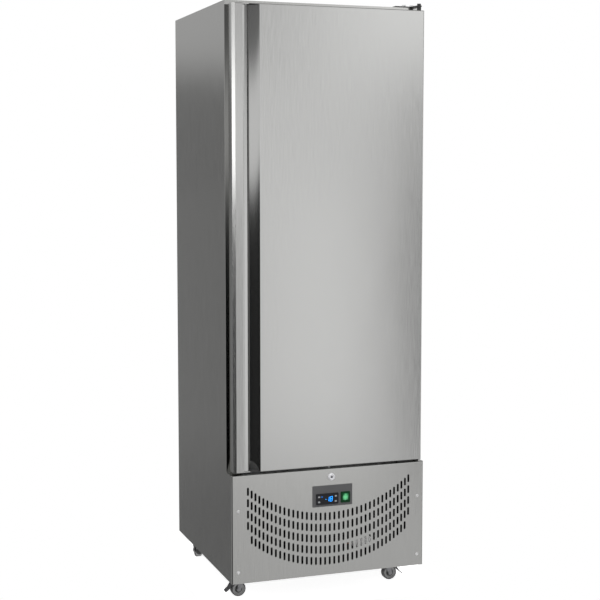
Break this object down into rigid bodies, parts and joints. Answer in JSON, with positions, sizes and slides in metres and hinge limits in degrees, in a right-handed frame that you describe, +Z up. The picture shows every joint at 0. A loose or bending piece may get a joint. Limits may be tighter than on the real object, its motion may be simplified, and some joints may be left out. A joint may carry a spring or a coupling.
{
  "type": "upright freezer",
  "caption": "Tall insulated freezer cabinet on casters with one hinged door, a full-height finger grip, a slotted machine base with controller and lock, and wire shelves inside",
  "frame": {"origin": "on the floor, under the middle of the bounding box", "axes": "X to the right seen from the front, Y to the back, Z up; the door faces -Y"},
  "size_m": [0.68, 0.7014, 1.967],
  "materials": {
    "cabinet_steel": "satin",
    "door_steel": "satin",
    "zinc_steel": "satin",
    "foam": "matte",
    "white_plastic": "satin",
    "grey_plastic": "satin",
    "black_plastic": "satin",
    "display_black": "gloss",
    "plate_grey": "satin",
    "dark_green_plastic": "gloss",
    "green_plastic": "gloss",
    "chrome_metal": "polished",
    "black_steel": "satin",
    "grey_rubber": "matte",
    "gasket_rubber": "matte",
    "fin_aluminium": "satin",
    "coated_wire": "satin",
    "copper": "satin"
  },
  "bodies": {
    "cabinet": {"side_panel_left": "cabinet_steel", "side_panel_right": "cabinet_steel", "top_panel": "cabinet_steel", "back_panel": "zinc_steel", "bay_roof": "zinc_steel", "base_tray": "zinc_steel", "rear_grille": "zinc_steel", "insulation": "foam", "inner_liner": "white_plastic", "throat_strips": "white_plastic", "front_grille": "cabinet_steel", "screws": "zinc_steel", "display_plate": "plate_grey", "controller": "display_black", "rocker_frame": "dark_green_plastic", "lock_housing": "chrome_metal", "top_hinge": "black_steel", "bottom_hinge": "black_steel", "evaporator": "fin_aluminium", "evaporator_cover": "white_plastic", "evaporator_motor": "black_plastic", "shelf_rails": "zinc_steel", "shelf_1": "coated_wire", "shelf_2": "coated_wire", "shelf_3": "coated_wire", "shelf_4": "coated_wire", "compressor": "black_steel", "condenser": "black_steel", "fan_shroud": "black_steel", "condenser_motor": "black_steel", "drip_tray": "grey_plastic", "refrigerant_pipes": "copper", "electrical_box": "grey_plastic", "power_inlet": "black_plastic", "caster_plates": "zinc_steel"},
    "door": {"door_skin": "door_steel", "door_foam": "foam", "door_liner": "white_plastic", "door_gasket": "gasket_rubber", "handle_strip": "door_steel", "door_bushes": "white_plastic"},
    "key_1_body": {"key_1": "grey_plastic"},
    "key_2_body": {"key_2": "grey_plastic"},
    "key_3_body": {"key_3": "grey_plastic"},
    "key_4_body": {"key_4": "grey_plastic"},
    "rocker_body": {"rocker": "green_plastic"},
    "lock_barrel_body": {"lock_barrel": "chrome_metal"},
    "lock_bolt_body": {"lock_bolt": "zinc_steel"},
    "evaporator_fan_body": {"evaporator_fan": "grey_plastic"},
    "condenser_fan_body": {"condenser_fan": "fin_aluminium"},
    "fork_fl_body": {"fork_fl": "zinc_steel"},
    "fork_fr_body": {"fork_fr": "zinc_steel"},
    "fork_rl_body": {"fork_rl": "zinc_steel"},
    "fork_rr_body": {"fork_rr": "zinc_steel"},
    "wheel_fl_body": {"wheel_fl": "grey_rubber"},
    "wheel_fr_body": {"wheel_fr": "grey_rubber"},
    "wheel_rl_body": {"wheel_rl": "grey_rubber"},
    "wheel_rr_body": {"wheel_rr": "grey_rubber"},
    "pedal_fl_body": {"pedal_fl": "black_plastic"},
    "pedal_fr_body": {"pedal_fr": "black_plastic"}
  },
  "joints": [
    {"name": "door_hinge", "type": "hinge", "parent": "cabinet", "child": "door", "pos_m": [0.323, -0.31925, 1.18885], "axis": [0, 0, 1], "range_deg": [0, 110]},
    {"name": "lock_turn", "type": "hinge", "parent": "cabinet", "child": "lock_barrel_body", "pos_m": [0.005, -0.34425, 0.401], "axis": [0, -1, 0], "range_deg": [0, 90]},
    {"name": "bolt_slide", "type": "slide", "parent": "cabinet", "child": "lock_bolt_body", "axis": [0, 0, 1], "range_m": [0, 0.009]},
    {"name": "rocker_tilt", "type": "hinge", "parent": "cabinet", "child": "rocker_body", "pos_m": [0.0545, -0.34175, 0.3295], "axis": [-1, 0, 0], "range_deg": [0, 12]},
    {"name": "key_press_1", "type": "slide", "parent": "cabinet", "child": "key_1_body", "axis": [0, 1, 0], "range_m": [0, 0.0005], "stiffness_N_per_m": 400, "springref_m": -0.0005},
    {"name": "key_press_2", "type": "slide", "parent": "cabinet", "child": "key_2_body", "axis": [0, 1, 0], "range_m": [0, 0.0005], "stiffness_N_per_m": 400, "springref_m": -0.0005},
    {"name": "key_press_3", "type": "slide", "parent": "cabinet", "child": "key_3_body", "axis": [0, 1, 0], "range_m": [0, 0.0005], "stiffness_N_per_m": 400, "springref_m": -0.0005},
    {"name": "key_press_4", "type": "slide", "parent": "cabinet", "child": "key_4_body", "axis": [0, 1, 0], "range_m": [0, 0.0005], "stiffness_N_per_m": 400, "springref_m": -0.0005},
    {"name": "evaporator_fan_spin", "type": "hinge", "parent": "cabinet", "child": "evaporator_fan_body", "pos_m": [0, 0.03375, 1.805], "axis": [0, -1, 0], "continuous": true},
    {"name": "condenser_fan_spin", "type": "hinge", "parent": "cabinet", "child": "condenser_fan_body", "pos_m": [-0.118, -0.19255, 0.194], "axis": [0, -1, 0], "continuous": true},
    {"name": "swivel_fl", "type": "hinge", "parent": "cabinet", "child": "fork_fl_body", "pos_m": [-0.268, -0.24925, 0.06], "axis": [0, 0, 1], "continuous": true},
    {"name": "roll_fl", "type": "hinge", "parent": "fork_fl_body", "child": "wheel_fl_body", "pos_m": [-0.292, -0.24925, 0.025], "axis": [0, -1, 0], "continuous": true},
    {"name": "swivel_fr", "type": "hinge", "parent": "cabinet", "child": "fork_fr_body", "pos_m": [0.231, -0.24925, 0.06], "axis": [0, 0, 1], "continuous": true},
    {"name": "roll_fr", "type": "hinge", "parent": "fork_fr_body", "child": "wheel_fr_body", "pos_m": [0.255, -0.24925, 0.025], "axis": [0, 1, 0], "continuous": true},
    {"name": "swivel_rl", "type": "hinge", "parent": "cabinet", "child": "fork_rl_body", "pos_m": [-0.299, 0.25775, 0.06], "axis": [0, 0, 1], "continuous": true},
    {"name": "roll_rl", "type": "hinge", "parent": "fork_rl_body", "child": "wheel_rl_body", "pos_m": [-0.299, 0.23375, 0.025], "axis": [1, 0, 0], "continuous": true},
    {"name": "swivel_rr", "type": "hinge", "parent": "cabinet", "child": "fork_rr_body", "pos_m": [0.299, 0.25775, 0.06], "axis": [0, 0, 1], "continuous": true},
    {"name": "roll_rr", "type": "hinge", "parent": "fork_rr_body", "child": "wheel_rr_body", "pos_m": [0.299, 0.23375, 0.025], "axis": [1, 0, 0], "continuous": true},
    {"name": "brake_fl", "type": "hinge", "parent": "fork_fl_body", "child": "pedal_fl_body", "pos_m": [-0.313, -0.24925, 0.047], "axis": [0, -1, 0], "range_deg": [0, 10]},
    {"name": "brake_fr", "type": "hinge", "parent": "fork_fr_body", "child": "pedal_fr_body", "pos_m": [0.276, -0.24925, 0.047], "axis": [0, 1, 0], "range_deg": [0, 10]}
  ],
  "couplings": [
    {"joint": "lock_turn", "follows": "bolt_slide", "rad_per_m": 174.53}
  ]
}
